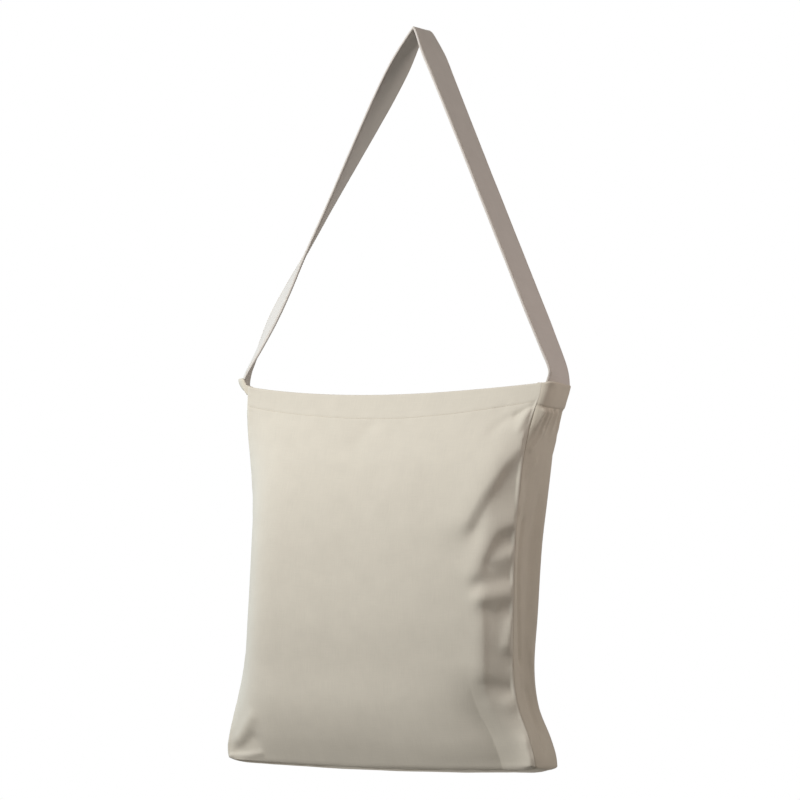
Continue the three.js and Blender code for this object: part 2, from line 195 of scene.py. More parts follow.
# A place on a panel's section, from -1 to 1, at a share of the cloth's own length across it
def placeByLength(left, right, bulge, turn, u):
    steps = 160
    t = np.linspace(-1, 1, steps + 1)
    depth = bulge[:, None] * (1 - lostAt(turn[:, None], t))
    sideways = np.diff(t) * ((left + right) / 2)[:, None]
    lengths = np.cumsum(np.hypot(sideways, np.diff(depth, axis=1)), axis=1)
    lengths = np.concatenate([np.zeros((len(u), 1)), lengths], axis=1)
    wanted = u * lengths[:, -1]
    k = np.clip((lengths < wanted[:, None]).sum(axis=1), 1, steps)
    row = np.arange(len(u))
    share = (wanted - lengths[row, k - 1]) / (lengths[row, k] - lengths[row, k - 1])
    return 2 * (k - 1 + share) / steps - 1


# Height of folds on the flat cloth. A fold is its rise, its width on the upper or left side and on
# the lower or right side, and its path down or to the left, in shares across and down.
def foldField(folds, x, y, width, power=2, grow=None):
    total = np.zeros_like(x)
    for rise, above, below, path in folds:
        path = np.array(path, float) * (width, bag["height"])
        best = np.full(x.shape, 1e9)
        side = np.zeros_like(x)  # from -1 on the lower or right side to 1 on the other
        for start, end in zip(path[:-1], path[1:]):
            run = end - start
            share = ((x - start[0]) * run[0] + (y - start[1]) * run[1]) / (run @ run)
            share = np.clip(share, 0, 1)
            dx = x - start[0] - share * run[0]
            dy = y - start[1] - share * run[1]
            distance = np.hypot(dx, dy)
            nearer = distance < best
            best = np.where(nearer, distance, best)
            turned = (run[0] * dy - run[1] * dx) / (np.hypot(*run) * np.maximum(distance, 1e-6))
            side = np.where(nearer, turned, side)
        spread = below + (above - below) * (side + 1) / 2
        profile = np.exp(-((best / spread) ** power))
        if grow:
            profile *= smooth(0, grow, y - path[0, 1])
        total += rise * profile
    return total


# A panel without its folds. facing is -1 for the front and 1 for the back, u goes from the left
# seam to the right one and v from the rim to the bottom.
def panelPoints(facing, u, v):
    u, v = np.broadcast_arrays(np.asarray(u, float), np.asarray(v, float))
    shape = u.shape
    u = u.ravel()
    v = v.ravel()
    x = u * bag["width"]
    y = v * bag["height"]
    left = sectionAt("left", v)
    right = sectionAt("right", v)
    sagShape = np.maximum(np.sin(np.pi * u ** bag["rimSagSkew"]), 0) ** bag["rimSagFullness"]
    top = bag["rim"] - bag["rimSag"] * sagShape
    bottom = bag["bottom"] - bag["bottomSag"] * np.sin(np.pi * u) - bag["bottomLean"] * (1 - u)
    if facing > 0:
        left = left + sectionAt("pull", v)
        right = right - sectionAt("draw", v)
        top = top + bag["backRise"] * (2 * u - 1) ** bag["backRisePower"]
    bulge = sectionAt("front" if facing < 0 else "back", v)
    turn = sectionAt("turn", v)
    middle = placeByLength(left, right, bulge, turn, u)
    sideways = (right - left) / 2 + middle * (left + right) / 2
    outward = sectionAt("depth", v) / 2 + bulge * (1 - lostAt(turn, middle))
    if facing < 0:
        outward = outward + foldField([cornerDent["fold"]], x, y, bag["width"], **cornerDent["edge"])
    upward = top * (1 - v) + bottom * v

    # round the lower corners
    fromCorner = np.minimum(u, 1 - u) * bag["width"] + (1 - v) * bag["height"]
    nearCorner = np.clip(1 - fromCorner / (2 * bag["cornerRadius"]), 0, 1)
    drawn = (1 - math.sqrt(0.5)) * bag["cornerRadius"] * nearCorner**2
    sideways = bag["shift"] + sideways - np.sign(u - 0.5) * drawn
    return np.stack([sideways, facing * outward, upward + drawn], axis=-1).reshape(*shape, 3)


# Places from 0 to 1 in spans (up to, steps), each with even steps of its own
def spanPlaces(spans):
    places = [np.zeros(1)]
    start = 0.0
    for end, steps in spans:
        places.append(np.linspace(start, end, steps + 1)[1:])
        start = end
    return np.concatenate(places)


# Places from 0 to 1 that lie closer together towards both ends
def crowded(places):
    return 0.5 - 0.5 * np.cos(np.pi * places)


def gridNormals(points, flip=False, ring=False):
    if ring:
        return gridNormals(np.concatenate([points[-2:], points, points[:2]]), flip)[2:-2]
    alongRows = np.gradient(points, axis=0)
    alongColumns = np.gradient(points, axis=1)
    normals = unit(np.cross(alongColumns, alongRows))
    return -normals if flip else normals


def addObject(name, data):
    added = bpy.data.objects.new(name, data)
    bpy.context.scene.collection.objects.link(added)
    return added


# A closed cloth wall about a grid of points, with its flat cut as the UV map
def clothObject(name, points, flat, thickness, flip=False, ring=False):
    rows, columns = points.shape[:2]
    half = gridNormals(points, flip, ring) * thickness / 2
    corners = np.concatenate([(points + half).reshape(-1, 3), (points - half).reshape(-1, 3)])
    count = rows * columns
    i, j = np.meshgrid(np.arange(rows if ring else rows - 1), np.arange(columns - 1), indexing="ij")
    at = lambda a, b: ((i + a) % rows * columns + j + b).ravel()
    face = np.stack([at(0, 0), at(0, 1), at(1, 1), at(1, 0)], axis=1)
    if flip:
        face = face[:, ::-1]
    index = np.arange(count).reshape(rows, columns)
    if ring:
        edges = [np.append(edge, edge[0]) for edge in (index[:, 0], index[::-1, -1])]
    else:
        edges = [np.concatenate([index[:, 0], index[-1, 1:], index[-2::-1, -1], index[0, -2::-1]])]
    faces = [face, face[:, ::-1] + count]
    for edge in edges:
        a, b = edge[:-1], edge[1:]
        band = np.stack([a, b, b + count, a + count], axis=1)
        faces.append(band[:, ::-1] if flip else band)
    faces = np.concatenate(faces)
    mesh = bpy.data.meshes.new(name)
    mesh.from_pydata(corners * mm, [], faces)
    layer = mesh.uv_layers.new(name="flat")
    uv = np.concatenate([flat.reshape(-1, 2), flat.reshape(-1, 2)])[faces.ravel()] * mm
    layer.data.foreach_set("uv", uv.astype(np.float32).ravel())
    mesh.shade_smooth()
    mesh.validate()
    return addObject(name, mesh)


# Directions into the bag, along a path down the left, along the bottom and up the right
def inwardAlong(path):
    along = np.gradient(path, axis=0)
    return unit(np.stack([-along[:, 2], np.zeros(len(path)), along[:, 0]], axis=1))


# The rim rolls inwards over a half circle and ends facing down inside the bag.
def rimRoll(rimPoints, up, outward):
    rows = []
    for angle in np.radians(bag["rollAngles"]):
        inwardShift = bag["rimRoll"] * (1 - math.cos(angle))
        rows.append(rimPoints - outward * inwardShift + up * bag["rimRoll"] * math.sin(angle))
    return np.stack(rows)


# Flat cloth in the roll, from its inner end to the rim
def rollLengths():
    return np.arange(len(bag["rollAngles"]), 0, -1) * bag["rimRoll"] * bag["rollStep"]


# Share of the hem's kind of seam, from 1 at the rim to 0 below the hem
def besideHem(v):
    return 1 - smooth(*bag["hemSeamRange"], v * bag["height"])


def edgeShare(distance):
    return np.clip(1 - distance / bag["edgeRound"], 0, 1) ** 2


# Side seams have round edges at the bottom corners only.
def roundShare(y):
    return smooth(bag["height"] - bag["edgeHeight"], bag["height"], y)


print("bag form ready")

# Front and back panels
panelSewing = {
    "seamFade": 5,  # folds die out this far from the seams
    "hemFade": (-6, 10),  # and over this range below the hem line
    "ripples": [(1, 46, 70), (0.5, 19, 34)],
    "rippleFade": 20,
    "hemGroove": 0.35,
    "grooveWidth": 1.3,
    "grooveStart": 4,  # from the seams
    "hemPucker": 0.3,
    "puckers": [(1, 7, 40), (0.6, 3.5, 30)],
    "puckerHeight": 7,
    "puckerStart": 6,
    "seamLip": 0.25,  # the cloth stands up beside the side seams
    "lipPlace": 1.4,
    "lipWidth": 1.2,
    "lipStart": 1,
    "lipFade": 30,
    "seamPucker": 0.4,  # and is gathered by them
    "gathers": [(1, 8, 30), (0.5, 4, 30)],
    "gatherPlace": 3,
    "gatherWidth": 4,
    "gatherStart": 2,
}
frontPanel = {
    **panelSewing,
    "columns": [(0.012, 6), (0.16, 34), (0.8, 62), (0.988, 66), (1.0, 6)],
    "rows": [(0.04, 16), (0.085, 26), (0.97, 150), (1.0, 12)],
    "ripple": 0.35,
    "seed": 5,
    "folds": [
        # the fold that runs down from the right end of the hem
        (4.4, 30, 10.5, [(1.0, 0.135), (0.975, 0.168), (0.935, 0.212), (0.88, 0.285), (0.845, 0.345)]),
        (-2.8, 8, 26, [(0.955, 0.245), (0.915, 0.3), (0.872, 0.375)]),
        # buckles down the turned right side
        (2.7, 16, 8.5, [(0.995, 0.362), (0.935, 0.378), (0.905, 0.43), (0.873, 0.49)]),
        (-2.4, 9, 13, [(0.975, 0.405), (0.945, 0.42), (0.915, 0.465)]),
        (1.9, 9, 8, [(0.99, 0.445), (0.94, 0.455)]),
        (-2.0, 10, 9, [(0.985, 0.502), (0.93, 0.509), (0.89, 0.517)]),
        (2.0, 9, 8, [(0.993, 0.546), (0.93, 0.553), (0.893, 0.552)]),
        (-2.1, 8, 17, [(0.975, 0.588), (0.945, 0.602), (0.91, 0.59)]),
        (3.6, 8, 12, [(0.995, 0.628), (0.98, 0.676)]),
        (1.7, 14, 6, [(0.893, 0.57), (0.9, 0.68), (0.9, 0.783)]),
        (-2.4, 9, 14, [(0.99, 0.794), (0.95, 0.79), (0.905, 0.785)]),
        (2.0, 8, 12, [(0.99, 0.822), (0.972, 0.83)]),
        # the lower right corner
        (3.5, 11, 6, [(0.998, 0.93), (0.99, 0.985)]),
        # the lower left corner
        (1.8, 9, 7, [(0.113, 0.881), (0.08, 0.912), (0.052, 0.943)]),
        (-2.2, 7, 11, [(0.103, 0.938), (0.072, 0.957), (0.043, 0.971)]),
        (1.2, 3, 4, [(0.13, 0.974), (0.08, 0.983), (0.022, 0.988)]),
        # under the hem
        (-1.2, 10, 10, [(0.463, 0.086), (0.432, 0.126)]),
        (-1.8, 4, 5, [(1.0, 0.048), (0.98, 0.062), (0.95, 0.078)]),
        (-1.2, 6, 8, [(0.94, 0.082), (0.922, 0.09), (0.89, 0.114)]),
        (1.5, 6, 4, [(0.985, 0.07), (0.975, 0.12)]),
        (-1.6, 4, 3, [(1.0, 0.06), (0.99, 0.12)]),
    ],
}
backPanel = {
    **panelSewing,
    "columns": [(0.012, 6), (0.2, 30), (0.8, 44), (0.988, 30), (1.0, 6)],
    "rows": [(0.04, 16), (0.085, 26), (0.97, 96), (1.0, 12)],
    "ripple": 0.5,
    "seed": 23,
    "folds": [
        (-5.0, 13, 18, [(0.2, 0.34), (0.12, 0.24), (0.03, 0.15)]),
        (-5.0, 18, 13, [(0.97, 0.18), (0.9, 0.27), (0.84, 0.36)]),
        (3.0, 12, 9, [(0.97, 0.38), (0.9, 0.42)]),
        (-3.0, 9, 12, [(0.97, 0.47), (0.89, 0.5)]),
        (3.0, 10, 10, [(0.12, 0.43), (0.03, 0.4)]),
        (-3.0, 10, 10, [(0.11, 0.52), (0.03, 0.5)]),
        (2.5, 9, 9, [(0.1, 0.63), (0.03, 0.65)]),
        (-3.0, 9, 9, [(0.97, 0.66), (0.9, 0.65)]),
        (4.0, 15, 12, [(0.18, 0.8), (0.04, 0.9)]),
        (4.0, 14, 14, [(0.82, 0.78), (0.96, 0.92)]),
    ],
}
shownGrids = {}


def panelPiece(name, facing, values):
    width = bag["width"]
    height = bag["height"]
    u = spanPlaces(values["columns"])
    v = spanPlaces(values["rows"])
    uu, vv = np.meshgrid(u, v, indexing="ij")
    base = panelPoints(facing, uu, vv)
    outward = gridNormals(base, facing > 0)
    x = uu * width
    y = vv * height
    fromSeam = np.minimum(uu, 1 - uu) * width
    fromBottom = (1 - vv) * height
    belowHem = y - hemLineAt(uu)
    seed = values["seed"]

    # folds and slow ripples of the cloth
    hold = smooth(0, values["seamFade"], fromSeam) * smooth(0, values["seamFade"], fromBottom)
    lift = foldField(values["folds"], x, y, width)
    lift *= hold * smooth(*values["hemFade"], belowHem)
    ripple = layeredNoise(x, y, values["ripples"], seed)
    lift += values["ripple"] * ripple * hold * smooth(0, values["rippleFade"], y)

    # the sewn hem line, and the cloth drawn up by it
    groove = values["hemGroove"] * bell(belowHem, values["grooveWidth"])
    lift -= groove * smooth(0, values["grooveStart"], fromSeam)
    pucker = layeredNoise(x, y, values["puckers"], seed + 2) * bell(belowHem, values["puckerHeight"])
    lift += values["hemPucker"] * pucker * smooth(0, values["puckerStart"], fromSeam)

    # the side seams, and the round edges at the bottom
    sewn = smooth(0, values["lipFade"], belowHem) * smooth(0, values["lipFade"], fromBottom)
    lip = bell(fromSeam - values["lipPlace"], values["lipWidth"])
    lift += sewn * values["seamLip"] * lip * smooth(0, values["lipStart"], fromSeam)
    gather = layeredNoise(y, x, values["gathers"], seed + 4)
    gather *= bell(fromSeam - values["gatherPlace"], values["gatherWidth"])
    lift += values["seamPucker"] * gather * smooth(0, values["gatherStart"], fromSeam)
    atSide = edgeShare(fromSeam) * roundShare(y)
    atBottom = edgeShare(fromBottom)
    lift -= bag["edgeDrop"] * np.maximum(atSide, atBottom)
    core = base + outward * lift[..., None]
    core[..., 0] -= np.sign(uu - 0.5) * bag["edgeDrop"] * atSide
    core[..., 2] += bag["edgeDrop"] * atBottom
    shownGrids[name] = (u, v, core, gridNormals(core, facing > 0))

    # turned rim, and cloth turned in along the side and bottom seams
    inward = inwardAlong(np.concatenate([core[0], core[1:-1, -1], core[-1, ::-1]]))
    rowCount = len(v)
    up = unit(core[:, 0] - core[:, 1])
    roll = rimRoll(core[:, 0], up, outward[:, 0]).transpose(1, 0, 2)
    turns = np.array(bag["seamTurns"])
    bottom = inward[rowCount - 1:len(inward) - rowCount + 1]
    foot = core[:, -1][:, None] + bottom[:, None] * turns[None, :, None]
    grid = np.concatenate([roll, core, foot], axis=1)
    share = besideHem(v)[:, None]
    backward = share * np.array((0, -facing, 0))
    sides = []
    for rows in (inward[:rowCount], inward[len(inward) - rowCount:][::-1]):
        rows = unit(rows * (1 - share) + backward)
        sides.append(np.pad(rows, ((roll.shape[1], len(turns)), (0, 0)), mode="edge"))
    leftTurn = grid[:1] + sides[0][None] * turns[::-1][:, None, None]
    rightTurn = grid[-1:] + sides[1][None] * turns[:, None, None]
    grid = np.concatenate([leftTurn, grid, rightTurn])

    flatU = np.concatenate([-turns[::-1], u * width, width + turns])
    flatV = np.concatenate([-rollLengths(), v * height, height + turns])
    flat = np.stack(np.meshgrid(flatU, flatV, indexing="ij"), axis=-1)
    return clothObject(name, grid, flat, bag["cloth"], flip=facing > 0)


frontPiece = panelPiece("front_cloth", -1, frontPanel)
backPiece = panelPiece("back_cloth", 1, backPanel)
print("panels made")

# Gusset: one strip down the left side, along the bottom and up the right side
gusset = {
    "sideRows": [(0.04, 14), (0.085, 22), (0.2, 40), (1.0, 90)],
    "bottomRows": 110,
    "columns": 44,
    "crowding": 0.4,  # of the columns towards the seams
    "turnAtRim": 5.5,
    "leftTurn": 14,  # the left side is rounder at the rim
    "rightTurn": 20,  # the front of the right side is rounder under the rim
    "rightTurnRange": (-6, 8),
    "turnBelow": 24,
    "turnRange": (0.11, 0.26),
    "riseLost": 0.85,  # share of the rim's rise that is lost across it, towards the back
    "riseRange": (0.35, 0.8),
    "seamFade": 4,
    "hemBelow": 23,
    "hemGroove": 0.9,
    "grooveWidth": 1.2,
    "hemStep": 1.2,  # the hem stands proud of the pleated cloth under it
    "stepHeight": 2.5,
    "hemPucker": 0.35,
    "puckers": [(1, 6, 40)],
    "puckerHeight": 6,
    "ripple": 0.35,
    "ripples": [(1, 40, 18), (0.5, 15, 9)],
    "rippleFade": 24,
    "seamPucker": 0.35,
    "gathers": [(1, 8, 30)],
    "gatherPlace": 4,
    "gatherWidth": 3.5,
    "seed": 41,
    # pleats gathered by the hem: place across, rise and width
    "pleats": [
        (0.1, 5.2, 4.8),
        (0.26, 4.4, 3.6),
        (0.41, 4.0, 3.8),
        (0.5, -1.6, 3.6),
        (0.66, 2.6, 4.2),
        (0.82, -1.4, 4.0),
    ],
    "pleatRange": (0.054, 0.068, 0.15),  # down to their start, peak and end
    # folds on the right side, 1, and on the left side, -1
    "creases": {
        1: [
            (-2.2, 3, 5, [(0.4, 0.36), (0.35, 0.52), (0.38, 0.72)]),
            (1.3, 4, 4, [(0.74, 0.7), (0.78, 0.86)]),
            (1.4, 3, 4, [(0.34, 0.12), (0.16, 0.17)]),
            (1.1, 3, 4, [(0.42, 0.2), (0.2, 0.235)]),
            (1.2, 4, 5, [(0.25, 0.3), (0.05, 0.34)]),
            (-1.4, 6, 6, [(0.5, 0.8), (0.4, 0.95)]),
        ],
        -1: [
            (-1.6, 6, 6, [(0.6, 0.25), (0.5, 0.45)]),
            (1.4, 5, 6, [(0.5, 0.6), (0.55, 0.8)]),
            (1.4, 4, 5, [(0.3, 0.14), (0.1, 0.2)]),
        ],
    },
}


def gussetPiece(name, values):
    down = spanPlaces(values["sideRows"])
    across = crowded(np.linspace(0, 1, values["bottomRows"] + 1))
    u = np.concatenate([np.zeros(len(down)), across[1:-1], np.ones(len(down))])
    v = np.concatenate([down, np.ones(len(across) - 2), down[::-1]])
    front = panelPoints(-1, u, v)
    back = panelPoints(1, u, v)
    outward = -inwardAlong(front)
    reach = back - front
    depth = np.linalg.norm(reach, axis=1)
    width = float(depth.mean())
    place = np.linspace(0, 1, values["columns"] + 1)
    place = (1 - values["crowding"]) * place + values["crowding"] * crowded(place)
    gap = (bag["seamGap"] + (bag["hemSeamGap"] - bag["seamGap"]) * besideHem(v))[:, None]
    distance = gap + place[None] * (depth[:, None] - 2 * gap)
    fromSeam = np.minimum(distance, depth[:, None] - distance)
    y = (v * bag["height"])[:, None] + 0 * distance
    pathLength = lengthAlong(front)
    along = pathLength[:, None] + 0 * distance
    onSide = np.where(u == 0, -1, np.where(u == 1, 1, 0))[:, None]
    upright = np.abs(onSide)
    seed = values["seed"]

    # round out of the seams at the rim, and flatter below the hem
    bulge = bulgeAt(v, u - 0.5)[:, None]
    wide = values["rightTurn"] * smooth(*values["rightTurnRange"], y) * (place < 0.5)
    wide = np.where((u > 0.5)[:, None], wide, values["leftTurn"])
    atRim = np.sqrt(1 - (1 - np.clip((fromSeam - gap) / (values["turnAtRim"] + wide), 0, 1)) ** 2)
    below = smooth(*values["turnRange"], v)[:, None]
    lift = bulge * (atRim * (1 - below) + smooth(0, values["turnBelow"], fromSeam) * below)

    # pleats under the hem, creases and ripples
    start, peak, end = values["pleatRange"]
    strength = (smooth(start, peak, v) * (1 - smooth(peak, end, v)))[:, None] * upright
    for pleat, rise, pleatWidth in values["pleats"]:
        lift += strength * rise * bell((place - pleat) * depth[:, None], pleatWidth)
    hold = smooth(0, values["seamFade"], fromSeam - gap)
    for side, creases in values["creases"].items():
        lift += foldField(creases, distance, y, width) * hold * (onSide == side)
    ripple = layeredNoise(along, distance, values["ripples"], seed)
    lift += values["ripple"] * ripple * hold * smooth(0, values["rippleFade"], y)

    # hem line, seam gathers and round edges at the bottom corners
    belowHem = y - values["hemBelow"]
    lift -= values["hemGroove"] * bell(belowHem, values["grooveWidth"]) * upright
    lift += values["hemStep"] * (1 - smooth(0, values["stepHeight"], belowHem)) * upright * hold
    pucker = layeredNoise(distance, y, values["puckers"], seed + 2) * bell(belowHem, values["puckerHeight"])
    lift += values["hemPucker"] * pucker * upright * hold
    gather = layeredNoise(along, distance, values["gathers"], seed + 3)
    lift += values["seamPucker"] * gather * bell(fromSeam - values["gatherPlace"], values["gatherWidth"])
    atSeam = edgeShare(fromSeam - gap) * roundShare(y)
    lift -= bag["edgeDrop"] * atSeam
    drawn = distance + bag["edgeDrop"] * atSeam * np.sign(0.5 - place)
    core = front[:, None] + unit(reach)[:, None] * drawn[..., None] + outward[:, None] * lift[..., None]
    rise = riseAt(v, u - 0.5)[:, None] * upright * smooth(0, values["seamFade"], fromSeam)
    core[..., 2] += rise * (1 - values["riseLost"] * smooth(*values["riseRange"], place))
    shownGrids[name] = (pathLength, place, core, gridNormals(core))

    # turned-in seams and rims
    turns = np.array(bag["seamTurns"])
    frontTurn = core[:, :1] - outward[:, None] * turns[::-1][None, :, None]
    backTurn = core[:, -1:] - outward[:, None] * turns[None, :, None]
    grid = np.concatenate([frontTurn, core, backTurn], axis=1)
    leftRoll = rimRoll(grid[0], unit(grid[0] - grid[1]), outward[0])
    rightRoll = rimRoll(grid[-1], unit(grid[-1] - grid[-2]), outward[-1])[::-1]
    grid = np.concatenate([leftRoll, grid, rightRoll])

    rolled = rollLengths()
    flatLong = np.concatenate([-rolled, pathLength, pathLength[-1] + rolled[::-1]])
    flatWide = np.concatenate([-turns[::-1], place * width, width + turns])
    flat = np.stack(np.meshgrid(flatWide, flatLong, indexing="xy"), axis=-1)
    return clothObject(name, grid, flat, bag["cloth"]), width, pathLength[-1]


gussetObject, gussetWidth, gussetLength = gussetPiece("gusset_cloth", gusset)
print("gusset made")

# Hem: the cloth turned down inside the rim, all the way round
hem = {
    "depth": 24,
    "start": 0.4,  # below the rim
    "inset": 7,  # from the side seams to the hem's short sides
    "corner": 4,
    "step": 2.2,  # from the panels' middle to the hem's
    "thickness": 1.0,
    "panelSteps": 180,
    "sideSteps": 30,
    "samples": 420,
    "levels": 14,
    "cornerRounds": 3,  # times that the corners are smoothed
    "pucker": 0.25,
    "puckers": [(1, 7, 30)],
    "puckerStart": 4,
    "seed": 61,
}


def hemPiece(name, values):
    span = sections["left"][0] + sections["right"][0]
    start = (values["inset"] + values["corner"]) / span
    u = np.linspace(start, 1 - start, values["panelSteps"])
    levels = np.linspace(values["start"], values["depth"], values["levels"])
    rings = []
    for level in levels:
        v = level / bag["height"]
        front = panelPoints(-1, u, v) + (0, values["step"], 0)
        back = panelPoints(1, u, v) - (0, values["step"], 0)
        sides = []
        for end, way in ((front[-1], 1), (front[0], -1)):
            reach = abs(end[1]) - values["corner"]
            side = np.repeat(end[None], values["sideSteps"], 0)
            side[:, 0] += values["corner"] * way
            side[:, 1] = np.linspace(-reach, reach, values["sideSteps"]) * way
            sides.append(side)
        # the back's ends keep to the front's, where the strap draws the back out
        inside = (back[:, 0] > front[0, 0]) & (back[:, 0] < front[-1, 0])
        ring = np.concatenate([front, sides[0], back[inside][::-1], sides[1], front[:1]])
        length = lengthAlong(ring)
        at = np.linspace(0, length[-1], values["samples"], endpoint=False)
        even = np.stack([np.interp(at, length, ring[:, axis]) for axis in range(3)], axis=1)
        for _ in range(values["cornerRounds"]):
            even = (np.roll(even, 1, 0) + 2 * even + np.roll(even, -1, 0)) / 4
        rings.append(even)
    grid = np.stack(rings, axis=1)
    around = np.arange(values["samples"]) * length[-1] / values["samples"]
    at, down = np.meshgrid(around, levels, indexing="ij")
    pucker = layeredNoise(at, down, values["puckers"], values["seed"])
    pucker *= values["pucker"] * smooth(values["puckerStart"], values["depth"], down)
    grid += gridNormals(grid, ring=True) * pucker[..., None]
    flat = np.stack([at, down], axis=-1)
    return clothObject(name, grid, flat, values["thickness"], ring=True), length[-1]


hemObject, hemLength = hemPiece("hem_cloth", hem)
print("hem made")


# A node socket that can be used in Python sums. add() puts any other node in the same tree.
class Socket:
    def __init__(self, tree, socket=None):
        self.tree = tree
        self.socket = socket

    def add(self, kind, settings=None, values=None, out=0):
        node = self.tree.nodes.new(kind)
        for key, value in (settings or {}).items():
            setattr(node, key, value)
        for key, value in (values or {}).items():
            if isinstance(value, Socket):
                self.tree.links.new(value.socket, node.inputs[key])
            else:
                node.inputs[key].default_value = value
        return Socket(self.tree, node.outputs[out] if len(node.outputs) else None)

    def output(self, key):
        return Socket(self.tree, self.socket.node.outputs[key])

    def math(self, operation, first, second=0.0):
        return self.add("ShaderNodeMath", {"operation": operation}, {0: first, 1: second})

    def mix(self, share, first, second):
        colours = {"Factor": share, 6: first, 7: second}
        return self.add("ShaderNodeMix", {"data_type": "RGBA"}, colours, out=2)

    def __add__(self, other):
        return self.math("ADD", self, other)

    def __radd__(self, other):
        return self.math("ADD", other, self)

    def __sub__(self, other):
        return self.math("SUBTRACT", self, other)

    def __rsub__(self, other):
        return self.math("SUBTRACT", other, self)

    def __mul__(self, other):
        return self.math("MULTIPLY", self, other)

    def __rmul__(self, other):
        return self.math("MULTIPLY", other, self)

    def __truediv__(self, other):
        return self.math("DIVIDE", self, other)

    def __pow__(self, other):
        return self.math("POWER", self, other)


# Clears the nodes of a material or a world, and starts anew
def emptyTree(owner):
    owner.use_nodes = True
    owner.node_tree.nodes.clear()
    return Socket(owner.node_tree)


def toned(tone, share=1):
    return tuple(c * share for c in tone) + (1,)


def relief(height, values):
    bump = {"Strength": values["bump"], "Distance": values["bumpHeight"] * mm, "Height": height}
    return height.add("ShaderNodeBump", values=bump)


# Ends a material in a shader with the given inputs
def endMaterial(start, inputs):
    surface = start.add("ShaderNodeBsdfPrincipled", values=inputs)
    start.add("ShaderNodeOutputMaterial", values={"Surface": surface})


# Undyed cotton in plain weave, drawn on the flat cut
panelCotton = {
    "tone": (0.7, 0.66, 0.572),
    "toneSpread": 0.06,
    "slubTone": 1.1,  # how much of that spread slubs, blotches and threads take
    "blotchTone": 0.6,
    "threadTone": 0.12,
    "threadPitch": 0.75,
    "threadRound": 0.7,
    "slubWidth": 0.9,
    "slubLength": 20,
    "uprightSlubs": 0.6,  # their share, against those that lie across
    "blotchScale": 45,
    "roughness": 0.9,
    "slubRoughness": 0.15,
    "bump": 0.6,
    "bumpHeight": 0.5,
    "weaveBump": 0.16,
    "slubBump": 0.22,
    "specular": 0.2,
    "sheen": 0.12,
    "sheenRoughness": 0.5,
}
gussetCotton = {**panelCotton, "tone": (0.69, 0.638, 0.537)}
strapCotton = {**panelCotton, "tone": (0.685, 0.645, 0.6), "slubLength": 34, "weaveBump": 0.2}


def cottonMaterial(name, values):
    material = bpy.data.materials.new(name)
    start = emptyTree(material)
    parts = start.add("ShaderNodeSeparateXYZ", values={0: start.add("ShaderNodeUVMap", {"uv_map": "flat"})})
    x = parts.output("X")
    y = parts.output("Y")

    # threads over and under each other
    turn = math.pi / (values["threadPitch"] * mm)
    cross = start.math("SINE", x * turn) * start.math("SINE", y * turn)
    weave = start.math("ABSOLUTE", cross) ** values["threadRound"]

    def noise(across, down, scale=1.0, detail=2.0):
        place = start.add("ShaderNodeCombineXYZ", values={0: across, 1: down})
        sizes = {"Vector": place, "Scale": scale, "Detail": detail}
        return start.add("ShaderNodeTexNoise", {"noise_dimensions": "2D"}, sizes)

    # thick and thin places along the threads, both ways, and slow blotches
    wide = 1 / (values["slubWidth"] * mm)
    long = 1 / (values["slubLength"] * mm)
    upright = noise(x * wide, y * long) * values["uprightSlubs"]
    lying = noise(x * long, y * wide) * (1 - values["uprightSlubs"])
    slub = upright + lying - 0.5
    blotch = noise(x, y, values["blotchScale"], detail=3.0) - 0.5

    share = 0.5 + slub * values["slubTone"] + blotch * values["blotchTone"] + cross * values["threadTone"]
    dark = toned(values["tone"], 1 - values["toneSpread"])
    light = toned(values["tone"], 1 + values["toneSpread"])
    height = weave * values["weaveBump"] + slub * values["slubBump"]
    endMaterial(
        start,
        {
            "Base Color": start.mix(share, dark, light),
            "Roughness": values["roughness"] + slub * values["slubRoughness"],
            "Normal": relief(height, values),
            "Specular IOR Level": values["specular"],
            "Sheen Weight": values["sheen"],
            "Sheen Roughness": values["sheenRoughness"],
        },
    )
    return material


sewingThread = {
    "tone": (0.7, 0.64, 0.54),
    "dark": 0.85,  # shares of the tone
    "light": 1.12,
    "ply": 0.35,
    "roughness": 0.8,
    "bump": 0.4,
    "bumpHeight": 0.2,
    "specular": 0.25,
}


def threadMaterial(name, values):
    material = bpy.data.materials.new(name)
    start = emptyTree(material)
    place = start.add("ShaderNodeTexCoord", out="Object")
    sizes = {"Vector": place, "Scale": 1 / (values["ply"] * mm), "Detail": 1.0}
    fibre = start.add("ShaderNodeTexNoise", values=sizes)
    tones = toned(values["tone"], values["dark"]), toned(values["tone"], values["light"])
    endMaterial(
        start,
        {
            "Base Color": start.mix(fibre, *tones),
            "Roughness": values["roughness"],
            "Normal": relief(fibre, values),
            "Specular IOR Level": values["specular"],
        },
    )
    return material


panelCloth = cottonMaterial("panel_cotton", panelCotton)
gussetCloth = cottonMaterial("gusset_cotton", gussetCotton)
strapCloth = cottonMaterial("strap_cotton", strapCotton)
threadFinish = threadMaterial("sewing_thread", sewingThread)
for piece, finish in (
    (frontPiece, panelCloth),
    (backPiece, panelCloth),
    (hemObject, panelCloth),
    (gussetObject, gussetCloth),
):
    piece.data.materials.append(finish)
print("cloth finishes made")


# A bare line of points that Geometry Nodes follow. outward is which way the face looks there.
def pathObject(name, points, outward, lengths=None):
    mesh = bpy.data.meshes.new(name)
    count = len(points)
    edges = np.stack([np.arange(count - 1), np.arange(1, count)], axis=1)
    mesh.from_pydata(points * mm, edges, [])
    layer = mesh.attributes.new("faceOut", "FLOAT_VECTOR", "POINT")
    layer.data.foreach_set("vector", outward.astype(np.float32).ravel())
    for key, values in (lengths or {}).items():
        layer = mesh.attributes.new(key, "FLOAT", "POINT")
        layer.data.foreach_set("value", (values * mm).astype(np.float32))
    return addObject(name, mesh)


